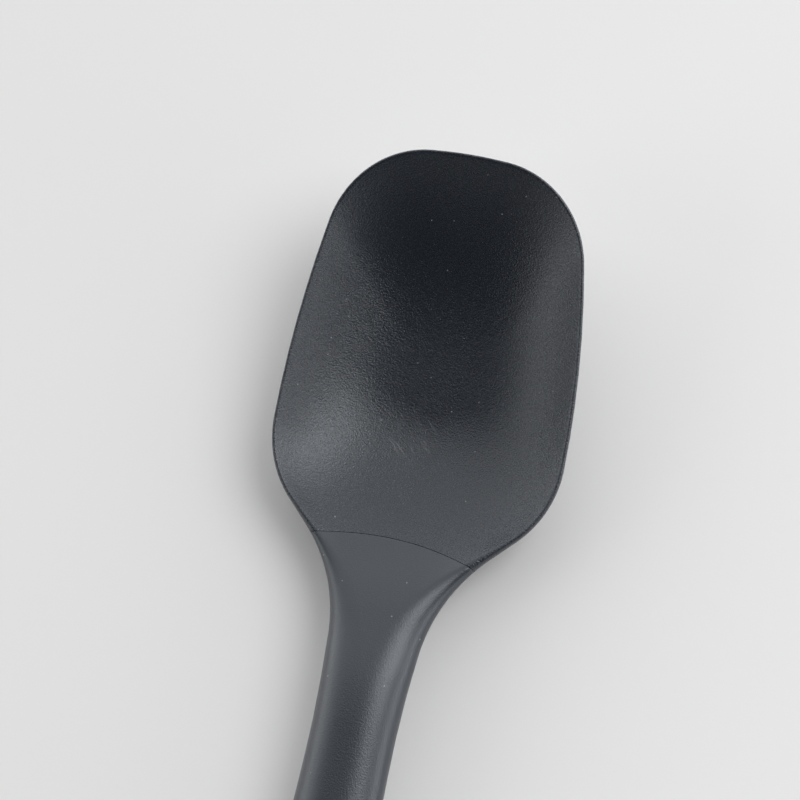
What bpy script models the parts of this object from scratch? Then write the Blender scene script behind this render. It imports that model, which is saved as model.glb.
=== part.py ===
"""Basting spoon with a soft silicone skin over a stiff core.

The spoon lies as it does on a worktop: +X points from the handle to the tip of the bowl, +Y to the
left, +Z up, and the origin is under the middle of its length, on the surface that it lies on.

"Back" is a distance behind the tip and "out" one from the middle plane. Each section of the spoon
runs from the spine, on the middle plane, to the outline: the share of the way is 0 at the spine and
1 at the outline.
"""

import math

import bmesh
import bpy
from mathutils import Matrix, Vector

MM = 0.001

# Lengths, behind the tip
OVERALL_LENGTH = 300.0 * MM
SEAM_BACK = 84.2 * MM
BELLY_BACK = 59.7 * MM

# Corners of the outline before they are rounded: back, out and radius
TIP_CROWN_OUT = 4.1 * MM
TIP_CORNER_BACK, TIP_CORNER_OUT, TIP_CORNER_RADIUS = 1.7 * MM, 25.9 * MM, 22.5 * MM
SIDE_BACK, SIDE_OUT, SIDE_RADIUS = 41.0 * MM, 33.3 * MM, 221.0 * MM
SHOULDER_BACK, SHOULDER_OUT, SHOULDER_RADIUS = 72.9 * MM, 33.0 * MM, 25.0 * MM
NECK_BACK, NECK_OUT, NECK_RADIUS = 94.7 * MM, 11.4 * MM, 37.5 * MM
WAIST_BACK, WAIST_OUT, WAIST_RADIUS = 122.7 * MM, 9.1 * MM, 253.0 * MM
GRIP_BACK, GRIP_OUT, GRIP_RADIUS = 245.0 * MM, 11.7 * MM, 160.0 * MM
END_OUT, END_RADIUS = 11.2 * MM, 10.4 * MM

# The bowl
BOWL_DEPTH = 12.0 * MM
BOWL_THICKNESS = 4.2 * MM
RIM_THICKNESS = 2.2 * MM
BOWL_POWER = 3.0
FLOOR_END_BACK, HEEL_END_BACK = 54.0 * MM, 102.0 * MM
TIP_SPINE_BACK, SPINE_SOFTNESS = 46.0 * MM, 15.0 * MM
RIM_TILT = math.radians(11.3)
RIM_BOW, RIM_BOW_LOWEST_BACK = 3.75 * MM, 50.0 * MM
RIM_BOW_FADE_BACK, RIM_BOW_END_BACK = 60.0 * MM, 100.0 * MM

# The neck and the handle
THICKEN_START_BACK, THICKEN_END_BACK = 72.0 * MM, 128.0 * MM
THIN_RIM_END_BACK, FULL_RIM_START_BACK = 72.0 * MM, 98.0 * MM
ROUNDING_START_BACK, ROUNDING_END_BACK = 72.0 * MM, 121.0 * MM
RIM_LINE_END_BACK, HANDLE_LINE_START_BACK = 50.0 * MM, 119.0 * MM
HANDLE_TILT = math.radians(1.9)
WAIST_THICKNESS = 13.0 * MM
GRIP_THICKNESS = 16.0 * MM
END_THICKNESS = 13.6 * MM
FLAT_TOP_SHARE = 0.05
END_SPINE, END_SOFTNESS = 12.0 * MM, 2.0 * MM

# The flats that the spoon rests on, and the hole that it hangs by
REST_FLAT_DEPTH = 0.35 * MM
HANG_HOLE_RADIUS = 4.5 * MM
HANG_HOLE_FROM_END = 14.5 * MM
HANG_HOLE_FLARE = 1.6 * MM

# The curved joint between the two skins
SEAM_ARC_RADIUS, SEAM_ARC_TURN = 55.4 * MM, math.radians(60.0)
SEAM_ARC_ASIDE = 2.5 * MM
SEAM_GAP = 0.35 * MM

# The core under the skins
GAP = 0.3 * MM
SKIN_WALL = 2.0 * MM
CORE_FRONT_BACK, CORE_FRONT_RADIUS = 103.0 * MM, 3.0 * MM
BLADE_THICKNESS = 0.8 * MM
BLADE_MARGIN = 8.0 * MM
TANG_HALF_WIDTH = 4.8 * MM
TANG_START_BACK = 60.0 * MM
TANG_PAST_RIVET = 12.0 * MM
KEY_HOLE_RADIUS = 3.0 * MM
KEY_HOLES = [(20.0 * MM, 0.0), (42.0 * MM, 12.0 * MM), (42.0 * MM, -12.0 * MM), (62.0 * MM, 0.0)]
RIVET_COUNT = 3
FIRST_RIVET_PAST_SEAM = 35.0 * MM
RIVET_SPACING = 52.0 * MM
RIVET_SHANK_RADIUS = 1.6 * MM
RIVET_HEAD_RADIUS = 2.8 * MM
RIVET_HEAD_THICKNESS = 1.2 * MM
RIVET_SINK = 0.5 * MM

# Fineness of the meshes
ARC_STEP = math.radians(8.0)
RUN_STEP = 9.0 * MM
SKIN_RINGS, CORE_RINGS, BLADE_RINGS = (4, 4), (1, 3), 4
ROUND_SIDES = 20
SEAM_SIDES = 44

# How far a cutter runs past what it cuts, and a height over the whole spoon
CUT_PAST = 5.0 * MM
ABOVE_ALL = 60.0 * MM


def smooth_share(value, start, end):
    """0 before start, 1 after end, and a smooth S between them."""
    t = min(max((value - start) / (end - start), 0.0), 1.0)
    return t * t * (3 - 2 * t)


def mix(a, b, share):
    return a + (b - a) * share


def place(back, out, height):
    return Vector((OVERALL_LENGTH / 2 - back, out, height))


def rounded_outline(corners):
    """The points of an outline whose corners (back, out, radius) are rounded. Its ends stay sharp.

    A radius of None stands for the arc that starts at the point before. Where two arcs would meet on
    one side, both are cut short.
    """
    at = [Vector(corner[:2]) for corner in corners]
    sides = [b - a for a, b in zip(at, at[1:])]
    turns = [0.0] + [before.angle_signed(after) for before, after in zip(sides, sides[1:])] + [0.0]
    wanted = [0.0] * len(corners)
    for k in range(1, len(corners) - 1):
        radius = corners[k][2]
        wanted[k] = sides[k - 1].length if radius is None else radius * math.tan(abs(turns[k]) / 2)
    room = [min(side.length / max(wanted[k] + wanted[k + 1], 1e-9), 1.0) for k, side in enumerate(sides)]

    points = [at[0]]
    for k in range(1, len(corners) - 1):
        run = wanted[k] * min(room[k - 1], room[k])
        start = at[k] - sides[k - 1].normalized() * run
        end = at[k] + sides[k].normalized() * run
        steps = max(2, math.ceil(abs(turns[k]) / ARC_STEP))
        radius = run / math.tan(abs(turns[k]) / 2)
        across_side = Matrix.Rotation(math.copysign(math.pi / 2, -turns[k]), 2) @ sides[k - 1].normalized()
        centre = start + across_side * radius
        points += [centre + Matrix.Rotation(-turns[k] * n / steps, 2) @ (start - centre) for n in range(steps)]
        points.append(end)
    points.append(at[-1])

    divided = [points[0]]
    for a, b in zip(points, points[1:]):
        if (b - a).length < 0.01 * MM:
            continue
        pieces = math.ceil((b - a).length / RUN_STEP)
        divided += [a.lerp(b, n / pieces) for n in range(1, pieces + 1)]
    return divided


def skin_outline():
    """The left half of the spoon's outline, from the middle of the tip to the middle of the far end."""
    return rounded_outline(
        [
            (0.0, 0.0, 0.0),
            (0.0, TIP_CROWN_OUT, None),
            (TIP_CORNER_BACK, TIP_CORNER_OUT, TIP_CORNER_RADIUS),
            (SIDE_BACK, SIDE_OUT, SIDE_RADIUS),
            (SHOULDER_BACK, SHOULDER_OUT, SHOULDER_RADIUS),
            (NECK_BACK, NECK_OUT, NECK_RADIUS),
            (WAIST_BACK, WAIST_OUT, WAIST_RADIUS),
            (GRIP_BACK, GRIP_OUT, GRIP_RADIUS),
            (OVERALL_LENGTH, END_OUT, END_RADIUS),
            (OVERALL_LENGTH, 0.0, 0.0),
        ]
    )


def core_outline(grow):
    """Half the outline of the nylon core, which keeps the skin's wall from the handle's own outline."""
    wall = SKIN_WALL + GAP - grow
    front = CORE_FRONT_BACK - grow
    return rounded_outline(
        [
            (front, 0.0, 0.0),
            (front, WAIST_OUT - wall, CORE_FRONT_RADIUS + grow),
            (WAIST_BACK, WAIST_OUT - wall, WAIST_RADIUS),
            (GRIP_BACK, GRIP_OUT - wall, GRIP_RADIUS),
            (OVERALL_LENGTH - wall, END_OUT - wall, END_RADIUS - wall),
            (OVERALL_LENGTH - wall, 0.0, 0.0),
        ]
    )


def spine_foot(back, first=TIP_SPINE_BACK):
    """Where the spine lies for an outline point: level with it, but stopping short of both ends."""
    foot = first + SPINE_SOFTNESS * math.log1p(math.exp((back - first) / SPINE_SOFTNESS))
    last = OVERALL_LENGTH - END_SPINE
    return last - END_SOFTNESS * math.log1p(math.exp((last - foot) / END_SOFTNESS))


def sag(back):
    """How far the spine of the bowl's wall lies under its edge."""
    deepest = BOWL_DEPTH + (BOWL_THICKNESS - RIM_THICKNESS) / 2
    return deepest * (1 - smooth_share(back, FLOOR_END_BACK, HEEL_END_BACK))


def half_thickness(back):
    thickness = mix(BOWL_THICKNESS, WAIST_THICKNESS, smooth_share(back, THICKEN_START_BACK, THICKEN_END_BACK))
    thickness += (GRIP_THICKNESS - WAIST_THICKNESS) * smooth_share(back, WAIST_BACK, GRIP_BACK)
    thickness -= (GRIP_THICKNESS - END_THICKNESS) * smooth_share(back, GRIP_BACK, OVERALL_LENGTH)
    return thickness / 2


def edge_height(back):
    """Height of the edge line: the tilted rim of the bowl, then the middle of the handle's side."""
    belly = sag(BELLY_BACK) + half_thickness(BELLY_BACK) - REST_FLAT_DEPTH
    bow = RIM_BOW * (back / RIM_BOW_LOWEST_BACK - 1) ** 2
    bow *= 1 - smooth_share(back, RIM_BOW_FADE_BACK, RIM_BOW_END_BACK)
    rim = belly + bow + (BELLY_BACK - back) * math.tan(RIM_TILT)
    handle = GRIP_THICKNESS / 2 - REST_FLAT_DEPTH + (GRIP_BACK - back) * math.tan(HANDLE_TILT)
    return mix(rim, handle, smooth_share(back, RIM_LINE_END_BACK, HANDLE_LINE_START_BACK))


def rounding(back):
    """0 where the wall ends in a thin rim, 1 where the whole section is rounded."""
    return smooth_share(back, ROUNDING_START_BACK, ROUNDING_END_BACK) ** 2


def half_rim(back):
    """Half the thickness at the edge, which grows to the whole wall's on the way to the neck."""
    full = smooth_share(back, THIN_RIM_END_BACK, FULL_RIM_START_BACK)
    return mix(RIM_THICKNESS / 2, half_thickness(back), full)


def wall_point(point, share):
    """The middle of the wall there, and its half thickness measured straight up."""
    foot = spine_foot(point.x)
    reach = math.hypot(point.x - foot, point.y)
    back = mix(foot, point.x, share)
    drop = sag(foot) * (1 - share**BOWL_POWER)
    slope = sag(foot) * BOWL_POWER * share ** (BOWL_POWER - 1) / reach
    half = mix(half_thickness(foot), half_rim(foot), share**2)
    return place(back, point.y * share, edge_height(back) - drop), half * math.hypot(1, slope)


def across(start, ring):
    """A ring's share of the way out, and its share of the thickness, if the edge starts at start."""
    kind, t = ring
    if kind == "flat":
        return start * t, 1.0
    if t == 1:
        return 1.0, 0.0
    return mix(start, 1.0, math.sin(t * math.pi / 2)), math.cos(t * math.pi / 2)


def skin_point(point, ring, side):
    """A point on the outer skin: side is 1 on the upper face and -1 on the lower one."""
    foot = spine_foot(point.x)
    reach = math.hypot(point.x - foot, point.y)
    start = mix(1 - half_rim(foot) / reach, FLAT_TOP_SHARE, rounding(foot))
    share, thickness = across(start, ring)
    middle, half = wall_point(point, share)
    return middle + Vector((0.0, 0.0, side * half * thickness))


def core_placer(grow, kept):
    """The function that places a point of the core. kept is 1 for its upper half, -1 for its lower one
    and 0 for both in one: the other side of a half is the flat face where the two meet."""

    def core_point(point, ring, side):
        foot = spine_foot(point.x, CORE_FRONT_BACK + WAIST_OUT - SKIN_WALL - GAP)
        share, thickness = across(FLAT_TOP_SHARE, ring)
        back = mix(foot, point.x, share)
        half = half_thickness(foot) - SKIN_WALL - GAP + grow
        face = kept * GAP / 2
        height = face if side == -kept else mix(face, side * half, thickness)
        return place(back, point.y * share, edge_height(back) - sag(back) + height)

    return core_point


def link(name, bm, material=None):
    """Makes an object of a bmesh, with its faces turned outwards. Without a material it is a cutter."""
    bmesh.ops.remove_doubles(bm, verts=bm.verts, dist=0.001 * MM)
    bmesh.ops.dissolve_degenerate(bm, edges=bm.edges, dist=0.0001 * MM)
    bmesh.ops.recalc_face_normals(bm, faces=bm.faces)
    mesh = bpy.data.meshes.new(name)
    bm.to_mesh(mesh)
    bm.free()
    mesh.shade_smooth()
    mesh.set_sharp_from_angle(angle=math.radians(35))
    obj = bpy.data.objects.new(name, mesh)
    bpy.context.scene.collection.objects.link(obj)
    if material:
        mesh.materials.append(material)
    else:
        obj.hide_render = True
        obj.display_type = "WIRE"
    return obj


def mirrored_grid(rows, columns, where):
    """A grid whose vertices are put at where(row, column), with its mirror image across the middle plane."""
    bm = bmesh.new()
    bmesh.ops.create_grid(bm, x_segments=columns - 1, y_segments=rows - 1, size=1.0)
    for vert in bm.verts:
        column = round((vert.co.x + 1) / 2 * (columns - 1))
        row = round((vert.co.y + 1) / 2 * (rows - 1))
        vert.co = where(row, column)
    bmesh.ops.mirror(bm, geom=bm.verts[:] + bm.edges[:] + bm.faces[:], axis="Y", merge_dist=0.001 * MM)
    bmesh.ops.remove_doubles(bm, verts=bm.verts, dist=0.001 * MM)
    bmesh.ops.triangulate(bm, faces=bm.faces)
    return bm


def rounded_solid(outline, where, fineness):
    """A closed solid from an upper and a lower sheet that meet round the outline."""
    flat_rings, edge_rings = fineness
    rings = [("flat", k / flat_rings) for k in range(flat_rings)]
    rings += [("edge", k / edge_rings) for k in range(edge_rings + 1)]
    last = len(rings) - 1

    def at(row, column):
        side = 1 if column <= last else -1
        return where(outline[row], rings[last - abs(last - column)], side)

    return mirrored_grid(len(outline), 2 * last + 1, at)


def blade_sheet(grow):
    """The middle surface of the blade: the bowl's wall short of its rim, narrowing to a flat tang."""
    tang_end = rivet_back(RIVET_COUNT - 1) + TANG_PAST_RIVET + grow
    outline = [point for point in skin_outline() if point.x < tang_end - 0.5 * MM]
    outline.append(Vector((tang_end, outline[-1].y)))

    def at(row, column):
        point = outline[row]
        reach = math.hypot(point.x - spine_foot(point.x), point.y)
        in_bowl = 1 - (BLADE_MARGIN - grow) / reach
        in_tang = (TANG_HALF_WIDTH + grow) / reach
        widest = mix(in_bowl, in_tang, smooth_share(point.x, TANG_START_BACK, SEAM_BACK))
        return wall_point(point, widest * column / BLADE_RINGS)[0]

    return mirrored_grid(len(outline), BLADE_RINGS + 1, at)


def rivet_back(number):
    return SEAM_BACK + FIRST_RIVET_PAST_SEAM + number * RIVET_SPACING


def upright(name, radius, back, out=0.0, sides=ROUND_SIDES):
    """An upright cylinder that cuts through the whole spoon."""
    bm = bmesh.new()
    at = Matrix.Translation(place(back, out, 0.0))
    bmesh.ops.create_cone(
        bm, cap_ends=True, segments=sides, radius1=radius, radius2=radius, depth=2 * ABOVE_ALL, matrix=at
    )
    return link(name, bm)


def turned(name, profile, back, material=None):
    """A solid turned round an upright axis on the middle plane, from (radius, height) points."""
    bm = bmesh.new()
    axis = place(back, 0.0, 0.0)
    verts = [bm.verts.new(axis + Vector((radius, 0.0, height))) for radius, height in profile]
    edges = [bm.edges.new(pair) for pair in zip(verts, verts[1:])]
    bmesh.ops.spin(
        bm, geom=verts + edges, cent=axis, axis=(0, 0, 1), angle=math.tau, steps=ROUND_SIDES, use_merge=True
    )
    return link(name, bm, material)


def modify(obj, operation, *others):
    for other in others:
        boolean = obj.modifiers.new(f"{operation.lower()} {other.name}", "BOOLEAN")
        boolean.operation = operation
        boolean.object = other
        boolean.solver = "EXACT"
    return obj


def solidify(obj, thickness):
    """Gives a sheet its thickness, half to each side."""
    shell = obj.modifiers.new("thickness", "SOLIDIFY")
    shell.thickness = thickness
    shell.offset = 0.0
    shell.use_even_offset = True
    return obj


def paint(name, colour, roughness, metallic=0.0):
    material = bpy.data.materials.new(name)
    material.use_nodes = True
    shader = material.node_tree.nodes["Principled BSDF"]
    shader.inputs["Base Color"].default_value = (*colour, 1.0)
    shader.inputs["Roughness"].default_value = roughness
    shader.inputs["Metallic"].default_value = metallic
    return material


def under_the_table():
    """What lies below the surface that the spoon rests on: cutting it away leaves the flats."""
    bm = bmesh.new()
    size = Matrix.Diagonal((OVERALL_LENGTH + 2 * CUT_PAST, 4 * SHOULDER_OUT, ABOVE_ALL, 1.0))
    bmesh.ops.create_cube(bm, size=1.0, matrix=Matrix.Translation((0, 0, -ABOVE_ALL / 2)) @ size)
    return link("cutter_table", bm)


def seam_cutter(name, shrink):
    """An upright block that holds the handle. Its curved front is the joint between the two skins."""
    bm = bmesh.new()
    centre = place(SEAM_BACK + SEAM_ARC_RADIUS, SEAM_ARC_ASIDE, -ABOVE_ALL)
    start = Matrix.Rotation(-SEAM_ARC_TURN, 3, "Z") @ Vector((SEAM_ARC_RADIUS - shrink, 0.0, 0.0))
    first = bm.verts.new(centre + start)
    bmesh.ops.spin(
        bm, geom=[first], cent=centre, axis=(0, 0, 1), angle=2 * SEAM_ARC_TURN, steps=SEAM_SIDES, use_merge=False
    )
    ends = [min(bm.verts, key=lambda vert: vert.co.y), max(bm.verts, key=lambda vert: vert.co.y)]
    past_end = place(OVERALL_LENGTH + CUT_PAST, 0.0, 0.0).x
    corners = [bm.verts.new((past_end, end.co.y, end.co.z)) for end in ends]
    bm.edges.new((ends[0], corners[0]))
    bm.edges.new((corners[0], corners[1]))
    bm.edges.new((corners[1], ends[1]))
    front = bmesh.ops.contextual_create(bm, geom=bm.edges[:])["faces"]
    top = bmesh.ops.extrude_face_region(bm, geom=front)["geom"]
    lifted = [item for item in top if isinstance(item, bmesh.types.BMVert)]
    bmesh.ops.translate(bm, verts=lifted, vec=(0, 0, 2 * ABOVE_ALL))
    return link(name, bm)


def hang_hole_profile():
    """The hole from below the handle to above it, opening out in a quarter round at each face."""
    back = OVERALL_LENGTH - HANG_HOLE_FROM_END
    middle, half = edge_height(back), half_thickness(back)
    upper = []
    for k in range(5):
        turn = k * math.pi / 8
        radius = HANG_HOLE_RADIUS + HANG_HOLE_FLARE * (1 - math.cos(turn))
        upper.append((radius, half - HANG_HOLE_FLARE * (1 - math.sin(turn))))
    upper.append((HANG_HOLE_RADIUS + HANG_HOLE_FLARE, half + CUT_PAST))
    upper.append((0.0, half + CUT_PAST))
    lower = [(radius, -height) for radius, height in reversed(upper)]
    return [(radius, middle + height) for radius, height in lower + upper]


def rivet_profile(back, grow=0.0, past=0.0):
    """A two-headed rivet, or with grow and past the room that is cut for it in the core."""
    middle = edge_height(back)
    top = half_thickness(back) - SKIN_WALL - GAP - RIVET_SINK
    under_head = top - RIVET_HEAD_THICKNESS - grow
    head, shank = RIVET_HEAD_RADIUS + grow, RIVET_SHANK_RADIUS + grow
    upper = [(shank, under_head), (head, under_head), (head, top + past), (0.0, top + past)]
    lower = [(radius, -height) for radius, height in reversed(upper)]
    return [(radius, middle + height) for radius, height in lower + upper]


def build_core(steel, nylon, rivet_steel):
    """The stainless blade, the two nylon halves on its tang and the rivets, and the blade's room."""
    blade = solidify(link("core_blade", blade_sheet(0.0), steel), BLADE_THICKNESS)
    blade_room = solidify(link("cutter_blade_room", blade_sheet(GAP)), BLADE_THICKNESS + 2 * GAP)
    for number, (back, out) in enumerate(KEY_HOLES, 1):
        modify(blade, "DIFFERENCE", upright(f"cutter_key_hole_{number}", KEY_HOLE_RADIUS, back, out))
        plug = upright(f"cutter_key_plug_{number}", KEY_HOLE_RADIUS - GAP, back, out)
        modify(blade_room, "DIFFERENCE", plug)

    hole_wall = HANG_HOLE_RADIUS + SKIN_WALL + GAP
    core_hole = upright("cutter_core_hole", hole_wall, OVERALL_LENGTH - HANG_HOLE_FROM_END)
    halves = []
    for name, kept in (("handle_core_upper", 1), ("handle_core_lower", -1)):
        half = link(name, rounded_solid(core_outline(0.0), core_placer(0.0, kept), CORE_RINGS), nylon)
        halves.append(modify(half, "DIFFERENCE", blade_room, core_hole))

    for number in range(RIVET_COUNT):
        back = rivet_back(number)
        turned(f"tang_rivet_{number + 1}", rivet_profile(back), back, rivet_steel)
        room = turned(f"cutter_rivet_{number + 1}", rivet_profile(back, GAP, CUT_PAST), back)
        tang_hole = upright(f"cutter_tang_hole_{number + 1}", RIVET_SHANK_RADIUS + GAP, back)
        modify(blade, "DIFFERENCE", tang_hole)
        for half in halves:
            modify(half, "DIFFERENCE", room)
    return blade_room


def build_skins(head_silicone, handle_silicone, blade_room):
    """The two silicone skins, which meet at the curved joint on the neck."""
    hole_back = OVERALL_LENGTH - HANG_HOLE_FROM_END
    core_room = link("cutter_core_room", rounded_solid(core_outline(GAP), core_placer(GAP, 0), CORE_RINGS))
    modify(core_room, "DIFFERENCE", upright("cutter_hole_lining", HANG_HOLE_RADIUS + SKIN_WALL, hole_back))
    table = under_the_table()

    head = link("head_skin", rounded_solid(skin_outline(), skin_point, SKIN_RINGS), head_silicone)
    modify(head, "DIFFERENCE", seam_cutter("cutter_seam_head", 0.0), table, blade_room)

    handle = link("handle_skin", rounded_solid(skin_outline(), skin_point, SKIN_RINGS), handle_silicone)
    modify(handle, "INTERSECT", seam_cutter("cutter_seam_handle", SEAM_GAP))
    hang_hole = turned("cutter_hang_hole", hang_hole_profile(), hole_back)
    modify(handle, "DIFFERENCE", table, core_room, blade_room, hang_hole)


def build():
    for obj in list(bpy.data.objects):
        bpy.data.objects.remove(obj, do_unlink=True)

    head_silicone = paint("slate silicone", (0.02, 0.023, 0.027), 0.5)
    handle_silicone = paint("slate handle silicone", (0.022, 0.025, 0.029), 0.5)
    steel = paint("stainless blade", (0.62, 0.62, 0.6), 0.3, 1.0)
    nylon = paint("black nylon", (0.02, 0.02, 0.022), 0.5)
    rivet_steel = paint("rivet steel", (0.55, 0.55, 0.55), 0.35, 1.0)

    blade_room = build_core(steel, nylon, rivet_steel)
    build_skins(head_silicone, handle_silicone, blade_room)


build()
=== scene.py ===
# Basting spoon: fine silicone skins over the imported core, lying on a plain pale floor

import math

import bmesh
import bpy
from mathutils import Matrix, Vector


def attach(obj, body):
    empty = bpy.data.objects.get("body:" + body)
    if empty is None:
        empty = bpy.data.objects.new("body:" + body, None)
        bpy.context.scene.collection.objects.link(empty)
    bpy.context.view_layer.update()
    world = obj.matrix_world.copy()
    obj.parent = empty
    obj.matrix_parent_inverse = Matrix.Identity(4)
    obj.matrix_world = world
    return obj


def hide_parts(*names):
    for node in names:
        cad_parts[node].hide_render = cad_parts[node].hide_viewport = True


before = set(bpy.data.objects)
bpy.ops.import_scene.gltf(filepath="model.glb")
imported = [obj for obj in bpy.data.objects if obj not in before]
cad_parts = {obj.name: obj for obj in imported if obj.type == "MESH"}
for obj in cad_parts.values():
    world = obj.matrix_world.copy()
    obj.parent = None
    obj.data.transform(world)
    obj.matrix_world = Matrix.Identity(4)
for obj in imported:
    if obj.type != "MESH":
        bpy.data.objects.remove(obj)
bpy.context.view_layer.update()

mm = 0.001

# The spoon's own outline, seen from above: corners as (behind the tip, out, radius), in mm
outline = {
    "length": 300.0,
    "tipCrown": 4.1,                      # half the straight stretch across the tip
    "tipCorner": (1.7, 25.9, 22.5),
    "side": (41.0, 33.3, 221.0),
    "shoulder": (72.9, 33.0, 25.0),
    "neck": (94.7, 11.4, 37.5),
    "waist": (122.7, 9.1, 253.0),
    "grip": (245.0, 11.7, 160.0),
    "end": (300.0, 11.2, 10.4),
    "arcStep": math.radians(2.0),
    "runStep": 1.6,
}

# The bowl's wall, in mm behind the tip unless it says otherwise
bowl = {
    "depth": 12.0,
    "thickness": 4.2,
    "rimThickness": 2.2,
    "rimEnd": 72.0, "fullEnd": 98.0,      # between these the rim gets as thick as the wall
    "power": 3.0,                         # how the floor curves up to the rim
    "floorEnd": 54.0, "heelEnd": 102.0,
    "spineStart": 46.0, "spineSoftness": 15.0,
    "belly": 59.7,                        # the lowest point underneath
    "tilt": math.radians(11.3),
    "bow": 3.75, "bowLowest": 50.0, "bowFade": 60.0, "bowEnd": 100.0,
    "rimLineEnd": 50.0,
}

# The neck and the handle
handle = {
    "thickenStart": 72.0, "thickenEnd": 128.0,
    "roundStart": 72.0, "roundEnd": 121.0,
    "lineStart": 119.0,
    "tilt": math.radians(1.9),
    "waistThickness": 13.0, "gripThickness": 16.0, "endThickness": 13.6,
    "flatTop": 0.05,
    "endSpine": 12.0, "endSoftness": 2.0,
    "restDepth": 0.35,                    # how far the flats underneath are worn into it
    "restSoftness": 0.12,
}

hangHole = {"fromEnd": 14.5, "radius": 4.5, "flare": 1.6, "steps": 96, "flareSteps": 8, "past": 3.0}

seam = {"back": 84.2, "radius": 55.4, "aside": 2.5, "gap": 0.1, "lip": 0.22, "lipSteps": 3}

skins = {"flatRings": 16, "edgeRings": 10, "mergeWithin": 0.0002, "sharpOver": math.radians(40)}


def smoothShare(value, start, end):
    t = min(max((value - start) / (end - start), 0.0), 1.0)
    return t * t * (3 - 2 * t)


def mix(a, b, share):
    return a + (b - a) * share


def place(back, out, height):
    return Vector((outline["length"] / 2 - back, out, height)) * mm


def roundedOutline(corners, arcStep, runStep):
    # A radius of None is the arc that starts at the point before; arcs that would meet are cut short
    at = [Vector(corner[:2]) for corner in corners]
    sides = [b - a for a, b in zip(at, at[1:])]
    turns = [0.0] + [a.angle_signed(b) for a, b in zip(sides, sides[1:])] + [0.0]
    wanted = [0.0] * len(corners)
    for k in range(1, len(corners) - 1):
        radius = corners[k][2]
        wanted[k] = sides[k - 1].length if radius is None else radius * math.tan(abs(turns[k]) / 2)
    room = [min(side.length / max(wanted[k] + wanted[k + 1], 1e-9), 1.0) for k, side in enumerate(sides)]

    points = [at[0]]
    for k in range(1, len(corners) - 1):
        run = wanted[k] * min(room[k - 1], room[k])
        along = sides[k - 1].normalized()
        start = at[k] - along * run
        steps = max(2, math.ceil(abs(turns[k]) / arcStep))
        inward = Matrix.Rotation(math.copysign(math.pi / 2, -turns[k]), 2) @ along
        centre = start + inward * (run / math.tan(abs(turns[k]) / 2))
        spoke = start - centre
        points += [centre + Matrix.Rotation(-turns[k] * n / steps, 2) @ spoke for n in range(steps + 1)]
    points.append(at[-1])

    divided = [points[0]]
    for a, b in zip(points, points[1:]):
        if (b - a).length < 0.01:
            continue
        pieces = math.ceil((b - a).length / runStep)
        divided += [a.lerp(b, n / pieces) for n in range(1, pieces + 1)]
    return divided


def spoonOutline():
    o = outline
    corners = [(0.0, 0.0, 0.0), (0.0, o["tipCrown"], None)]
    corners += [o[name] for name in ("tipCorner", "side", "shoulder", "neck", "waist", "grip", "end")]
    corners.append((o["length"], 0.0, 0.0))
    return roundedOutline(corners, o["arcStep"], o["runStep"])


def spineFoot(back):
    # The spine stops short of both ends, so the sections fan out round them
    first, softness = bowl["spineStart"], bowl["spineSoftness"]
    foot = first + softness * math.log1p(math.exp((back - first) / softness))
    last = outline["length"] - handle["endSpine"]
    return last - handle["endSoftness"] * math.log1p(math.exp((last - foot) / handle["endSoftness"]))


def sag(back):
    deepest = bowl["depth"] + (bowl["thickness"] - bowl["rimThickness"]) / 2
    return deepest * (1 - smoothShare(back, bowl["floorEnd"], bowl["heelEnd"]))


def halfThickness(back):
    h, waist, grip = handle, outline["waist"][0], outline["grip"][0]
    share = smoothShare(back, h["thickenStart"], h["thickenEnd"])
    thickness = mix(bowl["thickness"], h["waistThickness"], share)
    thickness += (h["gripThickness"] - h["waistThickness"]) * smoothShare(back, waist, grip)
    thickness -= (h["gripThickness"] - h["endThickness"]) * smoothShare(back, grip, outline["length"])
    return thickness / 2


def halfRim(back):
    share = smoothShare(back, bowl["rimEnd"], bowl["fullEnd"])
    return mix(bowl["rimThickness"] / 2, halfThickness(back), share)


def edgeHeight(back):
    b = bowl
    belly = sag(b["belly"]) + halfThickness(b["belly"]) - handle["restDepth"]
    bow = b["bow"] * (back / b["bowLowest"] - 1) ** 2 * (1 - smoothShare(back, b["bowFade"], b["bowEnd"]))
    rim = belly + bow + (b["belly"] - back) * math.tan(b["tilt"])
    middle = handle["gripThickness"] / 2 - handle["restDepth"]
    middle += (outline["grip"][0] - back) * math.tan(handle["tilt"])
    return mix(rim, middle, smoothShare(back, b["rimLineEnd"], handle["lineStart"]))


def skinPoint(point, ring, side):
    # ring is ("flat" or "edge", share): the edge rings run round the rim
    foot = spineFoot(point.x)
    reach = math.hypot(point.x - foot, point.y)
    rounded = smoothShare(foot, handle["roundStart"], handle["roundEnd"]) ** 2
    start = mix(1 - halfRim(foot) / reach, handle["flatTop"], rounded)
    kind, t = ring
    if kind == "flat":
        share, thickness = start * t, 1.0
    else:
        share, thickness = mix(start, 1.0, math.sin(t * math.pi / 2)), math.cos(t * math.pi / 2)

    drop = sag(foot) * (1 - share ** bowl["power"])
    slope = sag(foot) * bowl["power"] * share ** (bowl["power"] - 1) / reach
    half = mix(halfThickness(foot), halfRim(foot), share**2) * math.hypot(1, slope)
    back = mix(foot, point.x, share)
    height = edgeHeight(back) - drop + side * half * max(thickness, 0.0)
    soft = handle["restSoftness"]
    height = (height + math.hypot(height, soft)) / 2          # settles on the floor
    return place(back, point.y * share, height)


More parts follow.
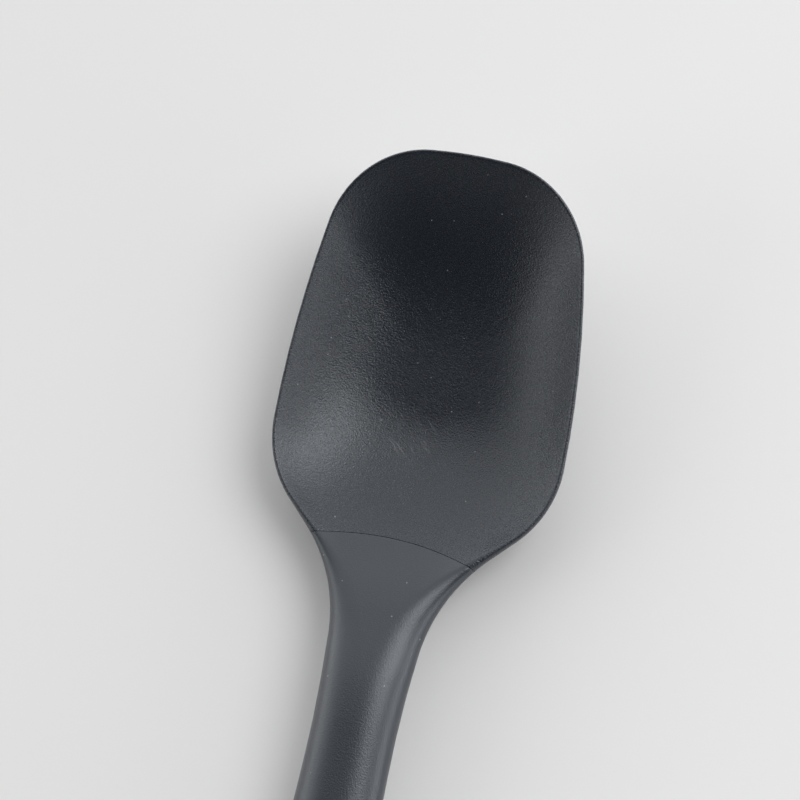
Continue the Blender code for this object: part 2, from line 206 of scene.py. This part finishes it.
def spoonSolid():
    # One closed fine solid of the whole spoon, made as its left half and mirrored
    edge = spoonOutline()
    rings = [("flat", k / skins["flatRings"]) for k in range(skins["flatRings"])]
    rings += [("edge", k / skins["edgeRings"]) for k in range(skins["edgeRings"] + 1)]
    last = len(rings) - 1
    rows, columns = len(edge), 2 * last + 1
    bm = bmesh.new()
    bmesh.ops.create_grid(bm, x_segments=columns - 1, y_segments=rows - 1, size=1.0)
    for vert in bm.verts:
        column = round((vert.co.x + 1) / 2 * (columns - 1))
        row = round((vert.co.y + 1) / 2 * (rows - 1))
        vert.co = skinPoint(edge[row], rings[last - abs(last - column)], 1 if column <= last else -1)
    near = skins["mergeWithin"] * mm
    bmesh.ops.mirror(bm, geom=bm.verts[:] + bm.edges[:] + bm.faces[:], axis="Y", merge_dist=near)
    bmesh.ops.remove_doubles(bm, verts=bm.verts, dist=near)
    bmesh.ops.dissolve_degenerate(bm, edges=bm.edges, dist=near)
    bmesh.ops.recalc_face_normals(bm, faces=bm.faces)
    return bm


def bendAtSeam(bm, sign):
    # Adds or takes away the seam's arc, so that between the two a plane can cut along it
    radius, aside = seam["radius"] * mm, seam["aside"] * mm
    widest = 0.9 * radius
    for vert in bm.verts:
        across = min(max(vert.co.y - aside, -widest), widest)
        vert.co.x += sign * (radius - math.sqrt(radius**2 - across**2))


def cutAtSeam(bm, keepHead):
    # Cuts the solid along the seam, closes it and rounds the lip
    bendAtSeam(bm, 1)
    back = seam["back"] if keepHead else seam["back"] + seam["gap"]
    cut = bmesh.ops.bisect_plane(
        bm, geom=bm.verts[:] + bm.edges[:] + bm.faces[:], plane_co=place(back, 0.0, 0.0), plane_no=(1, 0, 0),
        clear_inner=keepHead, clear_outer=not keepHead,
    )
    loop = [item for item in cut["geom_cut"] if isinstance(item, bmesh.types.BMEdge)]
    cap = bmesh.ops.contextual_create(bm, geom=loop)["faces"]
    lip = bmesh.ops.bevel(
        bm, geom=loop, offset=seam["lip"] * mm, offset_type="OFFSET", segments=seam["lipSteps"], profile=0.5,
        affect="EDGES", clamp_overlap=True, material=-1,
    )
    print("   seam:", len(loop), "edges,", len(cap), "cap,", len(lip["faces"]), "lip faces")
    bmesh.ops.triangulate(bm, faces=[face for face in bm.faces if len(face.verts) > 4])
    bendAtSeam(bm, -1)
    bmesh.ops.recalc_face_normals(bm, faces=bm.faces)


def shadeSmoothly(mesh):
    mesh.shade_smooth()
    mesh.set_sharp_from_angle(angle=skins["sharpOver"])


def linkPiece(name, bm, material, node):
    mesh = bpy.data.meshes.new(name)
    bm.to_mesh(mesh)
    bm.free()
    shadeSmoothly(mesh)
    mesh.materials.append(material)
    piece = bpy.data.objects.new(name, mesh)
    bpy.context.scene.collection.objects.link(piece)
    if node:
        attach(piece, "root")
        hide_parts(node)
    return piece


def hangHoleCutter():
    # A turned plug whose ends open out in a quarter round
    back = outline["length"] - hangHole["fromEnd"]
    middle, half = edgeHeight(back), halfThickness(back)
    flare = hangHole["flare"]
    upper = []
    for k in range(hangHole["flareSteps"] + 1):
        turn = k / hangHole["flareSteps"] * math.pi / 2
        upper.append((hangHole["radius"] + flare * (1 - math.cos(turn)), half - flare * (1 - math.sin(turn))))
    upper.append((hangHole["radius"] + flare, half + hangHole["past"]))
    upper.append((0.0, half + hangHole["past"]))
    profile = [(r, middle - h) for r, h in reversed(upper)] + [(r, middle + h) for r, h in upper]

    bm = bmesh.new()
    axis = place(back, 0.0, 0.0)
    verts = [bm.verts.new(axis + Vector((r, 0.0, h)) * mm) for r, h in profile]
    edges = [bm.edges.new(pair) for pair in zip(verts, verts[1:])]
    bmesh.ops.spin(
        bm, geom=verts + edges, cent=axis, axis=(0, 0, 1), angle=math.tau, steps=hangHole["steps"],
        use_merge=True,
    )
    bmesh.ops.remove_doubles(bm, verts=bm.verts, dist=skins["mergeWithin"] * mm)
    bmesh.ops.recalc_face_normals(bm, faces=bm.faces)
    return linkPiece("hangHoleCutter", bm, siliconeHandle, None)


def applyBoolean(piece, cutter):
    cut = piece.modifiers.new("hole", "BOOLEAN")
    cut.operation = "DIFFERENCE"
    cut.object = cutter
    cut.solver = "EXACT"
    bpy.context.view_layer.update()
    done = bpy.data.meshes.new_from_object(piece.evaluated_get(bpy.context.evaluated_depsgraph_get()))
    piece.modifiers.clear()
    piece.data = done
    bpy.data.objects.remove(cutter, do_unlink=True)


def newMaterial(name, roughness, metallic=0.0, specular=0.5):
    material = bpy.data.materials.new(name)
    material.use_nodes = True
    shader = material.node_tree.nodes["Principled BSDF"]
    shader.inputs["Roughness"].default_value = roughness
    shader.inputs["Metallic"].default_value = metallic
    shader.inputs["Specular IOR Level"].default_value = specular
    return material, shader


def objectPlace(material, size, centre=(0, 0, 0), turn=0.0):
    # Object space for a pattern: drawn to a size, turned about the vertical, and with its middle moved
    nodes, links = material.node_tree.nodes, material.node_tree.links
    where = nodes.new("ShaderNodeTexCoord")
    spread = nodes.new("ShaderNodeMapping")
    spread.vector_type = "TEXTURE"
    spread.inputs["Location"].default_value = centre
    spread.inputs["Rotation"].default_value = (0, 0, math.radians(turn))
    spread.inputs["Scale"].default_value = size
    links.new(where.outputs["Object"], spread.inputs["Vector"])
    return spread.outputs["Vector"]


def grainOf(material, size, detail=2.0, roughness=0.5, turn=0.0):
    # A noise whose ripples are about as long as size says, in metres along x, y and z
    if not isinstance(size, tuple):
        size = (size, size, size)
    noise = material.node_tree.nodes.new("ShaderNodeTexNoise")
    noise.inputs["Scale"].default_value = 1.0
    noise.inputs["Detail"].default_value = detail
    noise.inputs["Roughness"].default_value = roughness
    material.node_tree.links.new(objectPlace(material, size, turn=turn), noise.inputs["Vector"])
    return noise.outputs["Fac"]


def within(material, centre, reach):
    # A soft round patch: 1 in its middle, 0 from reach outwards
    ball = material.node_tree.nodes.new("ShaderNodeTexGradient")
    ball.gradient_type = "SPHERICAL"
    material.node_tree.links.new(objectPlace(material, reach, centre), ball.inputs["Vector"])
    return ball.outputs["Color"]


def dustOf(material, spacing, size, share):
    # Tiny specks: the middles of some of the cells of a cell pattern
    nodes, links = material.node_tree.nodes, material.node_tree.links
    cells = nodes.new("ShaderNodeTexVoronoi")
    cells.inputs["Scale"].default_value = 1.0
    links.new(objectPlace(material, (spacing, spacing, spacing)), cells.inputs["Vector"])
    reach = size / spacing
    spots = ramp(material, cells.outputs["Distance"], [(0.5 * reach, 1.0), (reach, 0.0)])
    parts = nodes.new("ShaderNodeSeparateColor")
    links.new(cells.outputs["Color"], parts.inputs["Color"])
    chosen = ramp(material, parts.outputs["Red"], [(1.0 - share, 0.0), (1.001 - share, 1.0)])
    return mixColours(material, 1.0, spots, chosen, "MULTIPLY")


def ramp(material, source, stops):
    node = material.node_tree.nodes.new("ShaderNodeValToRGB")
    elements = node.color_ramp.elements
    while len(elements) < len(stops):
        elements.new(0.5)
    for element, (position, value) in zip(elements, stops):
        element.position = position
        element.color = (*value, 1.0) if isinstance(value, tuple) else (value, value, value, 1.0)
    material.node_tree.links.new(source, node.inputs["Fac"])
    return node.outputs["Color"]


def mixColours(material, share, first, second, blend="MIX"):
    node = material.node_tree.nodes.new("ShaderNodeMix")
    node.data_type = "RGBA"
    node.blend_type = blend
    for value, name, kind in ((share, "Factor", "VALUE"), (first, "A", "RGBA"), (second, "B", "RGBA")):
        socket = next(each for each in node.inputs if each.name == name and each.type == kind)
        if isinstance(value, bpy.types.NodeSocket):
            material.node_tree.links.new(value, socket)
        else:
            socket.default_value = value if kind == "VALUE" else (*value, 1.0)
    return next(each for each in node.outputs if each.type == "RGBA")


def bump(material, height, depth, strength, below=None):
    node = material.node_tree.nodes.new("ShaderNodeBump")
    node.inputs["Distance"].default_value = depth
    node.inputs["Strength"].default_value = strength
    material.node_tree.links.new(height, node.inputs["Height"])
    if below:
        material.node_tree.links.new(below, node.inputs["Normal"])
    return node.outputs["Normal"]


silicone = {
    "head": {"colour": (0.0124, 0.0154, 0.0220), "roughness": 0.28, "grainDepth": 0.00012},
    # The handle's colour is lighter than the head's: painted light, standing in for the brighter light along
    # the handle
    "handle": {"colour": (0.0192, 0.0229, 0.0296), "roughness": 0.33, "grainDepth": 0.00006},
    "roughnessSpread": 0.03,
    "specular": 0.75, "tint": (0.92, 0.96, 1.0),
    "sheen": 0.02, "sheenRoughness": 0.5,
    "cloudSize": 0.022, "cloudDetail": 4.0, "cloudRoughness": 0.55,
    "cloudLighter": 1.22,                            # how much lighter the wide soft patches are
    "mottleSize": 0.0012, "mottleDetail": 3.0, "mottleLighter": 1.10, "mottleShare": 0.5,
    "patchStart": 0.35, "patchFull": 0.7,            # where both kinds of patch begin and are full
    "grainSize": 0.00034, "grainDetail": 2.0, "grainRoughness": 0.55,
    "grainLow": 0.35, "grainHigh": 0.65, "grainStrength": 1.0,
    "glintStart": 0.52, "glintFull": 0.72,
    "glintsLighter": 1.35,                           # painted glints: the grain's crests are made lighter, as if they caught the light
    "rippleSize": 0.0026, "rippleDepth": 0.0001, "rippleStrength": 0.1,
}
dust = {"spacing": 0.0030, "size": 0.00019, "share": 0.45, "colour": (0.27, 0.28, 0.29)}
scuffs = {                                           # pale rub marks on the floor of the bowl
    "centre": (0.0925, 0.0035, 0.0045), "reach": (0.011, 0.0075, 0.010),
    "size": (0.0050, 0.00050, 0.00050), "turn": 45.0, "colour": (0.120, 0.125, 0.135),
    "detail": 2.0, "roughness": 0.6, "start": 0.6, "full": 0.74, "solidWithin": 0.5,
}


def scuffedBase(material, base):
    # The same base colour with fine pale streaks laid over it in one soft patch
    lines = grainOf(material, scuffs["size"], scuffs["detail"], scuffs["roughness"], scuffs["turn"])
    streaks = ramp(material, lines, [(scuffs["start"], 0.0), (scuffs["full"], 1.0)])
    ball = within(material, scuffs["centre"], scuffs["reach"])
    patch = ramp(material, ball, [(0.0, 0.0), (scuffs["solidWithin"], 1.0)])
    rubbed = mixColours(material, 1.0, streaks, patch, "MULTIPLY")
    return mixColours(material, rubbed, base, scuffs["colour"])


def makeSilicone(name, skin, scuffed):
    look, own = silicone, silicone[skin]
    material, shader = newMaterial(name, own["roughness"], specular=look["specular"])
    patches = [(look["patchStart"], 0.0), (look["patchFull"], 1.0)]
    cloudNoise = grainOf(material, look["cloudSize"], look["cloudDetail"], look["cloudRoughness"])
    clouds = ramp(material, cloudNoise, patches)
    mottle = ramp(material, grainOf(material, look["mottleSize"], look["mottleDetail"]), patches)
    grain = grainOf(material, look["grainSize"], look["grainDetail"], look["grainRoughness"])

    def lighter(times):
        return tuple(channel * times for channel in own["colour"])

    cloudy = mixColours(material, clouds, own["colour"], lighter(look["cloudLighter"]))
    mottled = mixColours(material, mottle, own["colour"], lighter(look["mottleLighter"]))
    base = mixColours(material, look["mottleShare"], cloudy, mottled)
    # Painted glints: a lighter colour on the grain's crests stands in for light that the grain catches
    paintedGlints = ramp(material, grain, [(look["glintStart"], 0.0), (look["glintFull"], 1.0)])
    base = mixColours(material, paintedGlints, base, lighter(look["glintsLighter"]))
    if scuffed:
        base = scuffedBase(material, base)
    specks = dustOf(material, dust["spacing"], dust["size"], dust["share"])
    base = mixColours(material, specks, base, dust["colour"])
    material.node_tree.links.new(base, shader.inputs["Base Color"])

    smoother, rougher = own["roughness"] - look["roughnessSpread"], own["roughness"] + look["roughnessSpread"]
    gloss = ramp(material, grain, [(look["grainLow"], smoother), (look["grainHigh"], rougher)])
    material.node_tree.links.new(gloss, shader.inputs["Roughness"])
    rippled = grainOf(material, look["rippleSize"])
    ripples = bump(material, rippled, look["rippleDepth"], look["rippleStrength"])
    surface = bump(material, grain, own["grainDepth"], look["grainStrength"], ripples)
    material.node_tree.links.new(surface, shader.inputs["Normal"])
    shader.inputs["Specular Tint"].default_value = (*look["tint"], 1.0)
    shader.inputs["Sheen Weight"].default_value = look["sheen"]
    shader.inputs["Sheen Roughness"].default_value = look["sheenRoughness"]
    return material


steel = {
    "blade": {"colour": (0.62, 0.62, 0.6), "roughness": 0.3, "lineSize": (0.025, 0.0025, 0.0025)},
    "rivet": {"colour": (0.55, 0.55, 0.55), "roughness": 0.35, "lineSize": (0.0025, 0.0025, 0.0125)},
    "lineDetail": 4.0, "lineRoughness": 0.6, "lineDarker": 0.8,
    "lineLow": 0.3, "lineHigh": 0.7, "smoother": 0.06, "rougher": 0.08,
    "lineDepth": 0.00002, "lineStrength": 0.4,
}


def makeSteel(name, part):
    # Rolled or turned steel: fine lines along one direction
    look, own = steel, steel[part]
    material, shader = newMaterial(name, own["roughness"], metallic=1.0)
    lines = grainOf(material, own["lineSize"], look["lineDetail"], look["lineRoughness"])
    dark = tuple(channel * look["lineDarker"] for channel in own["colour"])
    base = mixColours(material, lines, dark, own["colour"])
    material.node_tree.links.new(base, shader.inputs["Base Color"])
    low, high = own["roughness"] - look["smoother"], own["roughness"] + look["rougher"]
    spread = ramp(material, lines, [(look["lineLow"], low), (look["lineHigh"], high)])
    material.node_tree.links.new(spread, shader.inputs["Roughness"])
    surface = bump(material, lines, look["lineDepth"], look["lineStrength"])
    material.node_tree.links.new(surface, shader.inputs["Normal"])
    return material


nylon = {
    "colour": (0.02, 0.02, 0.022), "roughness": 0.5,
    "patchSize": 0.008, "patchDetail": 3.0, "patchStart": 0.3, "patchFull": 0.75, "patchLighter": 1.4,
    "grainSize": 0.00055, "grainLow": 0.3, "grainHigh": 0.7, "smoothest": 0.42, "roughest": 0.56,
    "grainDepth": 0.00004, "grainStrength": 0.3,
}


def makeNylon(name):
    look = nylon
    material, shader = newMaterial(name, look["roughness"])
    noise = grainOf(material, look["patchSize"], look["patchDetail"])
    patches = ramp(material, noise, [(look["patchStart"], 0.0), (look["patchFull"], 1.0)])
    pale = tuple(channel * look["patchLighter"] for channel in look["colour"])
    base = mixColours(material, patches, look["colour"], pale)
    material.node_tree.links.new(base, shader.inputs["Base Color"])
    grain = grainOf(material, look["grainSize"])
    ends = [(look["grainLow"], look["smoothest"]), (look["grainHigh"], look["roughest"])]
    gloss = ramp(material, grain, ends)
    material.node_tree.links.new(gloss, shader.inputs["Roughness"])
    surface = bump(material, grain, look["grainDepth"], look["grainStrength"])
    material.node_tree.links.new(surface, shader.inputs["Normal"])
    return material


print("materials")
siliconeHead = makeSilicone("slate silicone", "head", True)
siliconeHandle = makeSilicone("slate handle silicone", "handle", False)
bladeSteel = makeSteel("rolled blade steel", "blade")
rivetSteel = makeSteel("turned rivet steel", "rivet")
coreNylon = makeNylon("black core nylon")

print("inner pieces")
innerFinish = {
    "core_blade": bladeSteel,
    "handle_core_upper": coreNylon,
    "handle_core_lower": coreNylon,
    "tang_rivet_1": rivetSteel,
    "tang_rivet_2": rivetSteel,
    "tang_rivet_3": rivetSteel,
}
for node, finish in innerFinish.items():
    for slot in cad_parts[node].material_slots:
        slot.material = finish

print("head skin")
head = spoonSolid()
cutAtSeam(head, True)
linkPiece("bowl_skin", head, siliconeHead, "head_skin")

print("handle skin")
grip = spoonSolid()
cutAtSeam(grip, False)
handleSkin = linkPiece("grip_skin", grip, siliconeHandle, "handle_skin")
applyBoolean(handleSkin, hangHoleCutter())
shadeSmoothly(handleSkin.data)

print("floor, light and camera")
stage = {
    "floorSize": 6.0,
    "floorColour": (0.80, 0.80, 0.80), "floorPaler": (0.82, 0.82, 0.82), "floorPatches": 0.17,
    "floorRoughness": 0.9, "floorSpecular": 0.1,
    "overhead": 0.005,                            # what the dark half gives, overhead and behind
    "ahead": 0.90,                                # what the pale half gives, ahead of the spoon
    "aheadFrom": 0.02, "aheadTo": 0.12,           # where the one turns to the other: 0 is overhead
    "aheadLeft": 0.30,                            # how much brighter the pale half is to the left
    "horizon": 4.0, "horizonFade": 0.15,          # a bright band low all round
    "horizonLean": (0.85, -0.15, 0.0),            # how much brighter that is ahead and to the right
}

# Soft lamps: azimuth (0 ahead of the tip, 90 to the left) and elevation in degrees, how wide each
# looks from the spoon, also in degrees, and how bright its face is
lamps = {
    "right key lamp": {"azimuth": 296, "elevation": 52, "width": 40, "brightness": 3.4},
    "left fill lamp": {"azimuth": 108, "elevation": 24, "width": 34, "brightness": 1.5},
    "low right lamp": {"azimuth": 262, "elevation": 16, "width": 26, "brightness": 1.0},
}
lampAway = 1.2
lampAim = Vector((0.08, 0.0, 0.0))                # the middle of the bowl


def makeFloor():
    bm = bmesh.new()
    bmesh.ops.create_grid(bm, x_segments=1, y_segments=1, size=stage["floorSize"] / 2)
    material, shader = newMaterial("pale floor", stage["floorRoughness"], specular=stage["floorSpecular"])
    patches = grainOf(material, stage["floorPatches"])
    tint = mixColours(material, patches, stage["floorColour"], stage["floorPaler"])
    material.node_tree.links.new(tint, shader.inputs["Base Color"])
    floor = linkPiece("floor", bm, material, None)


def makeWorld():
    # Dark overhead and behind, pale ahead and bright low down; plain white to the camera
    world = bpy.data.worlds.new("soft room")
    bpy.context.scene.world = world
    world.use_nodes = True
    nodes, links = world.node_tree.nodes, world.node_tree.links
    where = nodes.new("ShaderNodeTexCoord")
    split = nodes.new("ShaderNodeSeparateXYZ")
    links.new(where.outputs["Generated"], split.inputs["Vector"])

    def calculate(operation, first, second):
        node = nodes.new("ShaderNodeMath")
        node.operation = operation
        for value, socket in ((first, node.inputs[0]), (second, node.inputs[1])):
            if isinstance(value, bpy.types.NodeSocket):
                links.new(value, socket)
            else:
                socket.default_value = value
        return node.outputs[0]

    room = nodes.new("ShaderNodeMapRange")
    room.interpolation_type = "SMOOTHSTEP"
    links.new(split.outputs["X"], room.inputs["Value"])
    room.inputs["From Min"].default_value = stage["aheadFrom"]
    room.inputs["From Max"].default_value = stage["aheadTo"]
    lean = nodes.new("ShaderNodeVectorMath")
    lean.operation = "DOT_PRODUCT"
    links.new(where.outputs["Generated"], lean.inputs[0])
    lean.inputs[1].default_value = stage["horizonLean"]
    leftward = calculate("ADD", calculate("MULTIPLY", split.outputs["Y"], stage["aheadLeft"]), 1.0)
    pale = calculate("MULTIPLY", calculate("MULTIPLY", room.outputs["Result"], leftward), stage["ahead"])
    height = calculate("MAXIMUM", split.outputs["Z"], 0.0)
    fade = calculate("EXPONENT", calculate("DIVIDE", height, -stage["horizonFade"]), 0.0)
    leaning = calculate("MAXIMUM", calculate("ADD", lean.outputs["Value"], 1.0), 0.0)
    band = calculate("MULTIPLY", calculate("MULTIPLY", fade, leaning), stage["horizon"])
    glow = calculate("ADD", calculate("ADD", band, pale), stage["overhead"])
    path = nodes.new("ShaderNodeLightPath")
    seen = calculate("MAXIMUM", path.outputs["Is Camera Ray"], path.outputs["Is Transmission Ray"])
    shown = calculate("ADD", calculate("MULTIPLY", glow, calculate("SUBTRACT", 1.0, seen)), seen)
    nodes["Background"].inputs["Color"].default_value = (1.0, 1.0, 1.0, 1.0)
    links.new(shown, nodes["Background"].inputs["Strength"])


def makeLamp(name, azimuth, elevation, width, brightness):
    azimuth, elevation = math.radians(azimuth), math.radians(elevation)
    lamp = bpy.data.lights.new(name, "AREA")
    lamp.shape = "DISK"
    lamp.size = 2 * lampAway * math.tan(math.radians(width) / 2)
    lamp.energy = brightness * math.pi**2 * lamp.size**2 / 4          # a face of this brightness
    level = math.cos(elevation)
    direction = Vector((level * math.cos(azimuth), level * math.sin(azimuth), math.sin(elevation)))
    holder = bpy.data.objects.new(name, lamp)
    holder.location = lampAim + direction * lampAway
    holder.rotation_euler = direction.to_track_quat("Z", "Y").to_euler()
    bpy.context.scene.collection.objects.link(holder)


def makeCamera():
    # Leans back over the handle and a little to the right, and is turned so that the spoon lies askew
    view = {
        "lean": math.radians(13.4), "right": math.radians(10.0), "roll": math.radians(12.97),
        "target": Vector((96.3, 6.18, 13.0)) * mm, "distance": 550.0 * mm,
        "millimetresPerPixel": 0.2231, "pixels": 800, "sensor": 36.0, "nearest": 0.01,
    }
    back = Vector((-math.sin(view["lean"]), -math.sin(view["right"]), 0.0))
    back.z = math.sqrt(1 - back.length_squared)
    ahead = Vector((1, 0, 0)) - back * back.x
    ahead.normalize()
    up = Matrix.Rotation(view["roll"], 3, back) @ ahead
    across = up.cross(back)
    data = bpy.data.cameras.new("camera")
    data.sensor_width = view["sensor"]
    data.lens = view["sensor"] * view["distance"] / mm / view["millimetresPerPixel"] / view["pixels"]
    data.clip_start = view["nearest"]
    camera = bpy.data.objects.new("camera", data)
    matrix = Matrix((across, up, back)).transposed().to_4x4()
    matrix.translation = view["target"] + back * view["distance"]
    camera.matrix_world = matrix
    bpy.context.scene.collection.objects.link(camera)
    bpy.context.scene.camera = camera


makeFloor()
makeWorld()
for lampName, lampPlace in lamps.items():
    makeLamp(lampName, **lampPlace)
makeCamera()
bpy.context.scene.view_settings.view_transform = "Standard"
